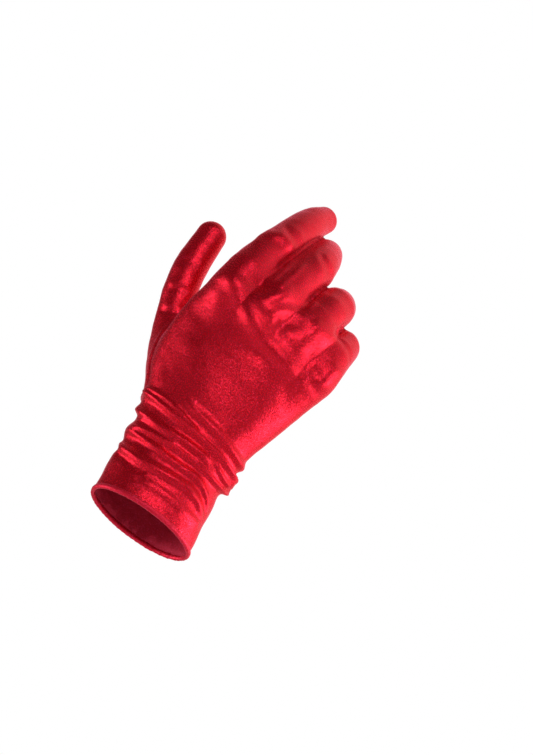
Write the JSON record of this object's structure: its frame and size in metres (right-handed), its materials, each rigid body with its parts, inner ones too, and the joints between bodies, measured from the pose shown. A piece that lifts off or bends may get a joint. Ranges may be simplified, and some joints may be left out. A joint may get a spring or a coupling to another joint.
{
  "type": "wrist length dress glove",
  "caption": "Thin stretch satin dress glove for the right hand, wrist length, with curled fingers, a set-in thumb and a gathered wrist above a narrow rolled hem.",
  "frame": {"origin": "centre of the wrist opening, in the plane of the hem's edge, where a wrist goes in", "axes": "+Z from the opening along the forearm's line to the hand, -Y out of the back of the hand, -X towards the thumb, +X towards the little finger"},
  "size_m": [0.1018, 0.0774, 0.2069],
  "materials": {
    "satin": "satin, with soft pink highlights",
    "hem": "satin, rolled and stitched"
  },
  "bodies": {
    "root": {"hand_shell": "satin", "thumb": "satin", "fork_index_middle": "satin", "fork_middle_ring": "satin", "fork_ring_little": "satin", "cuff_hem": "hem"}
  },
  "joints": []
}
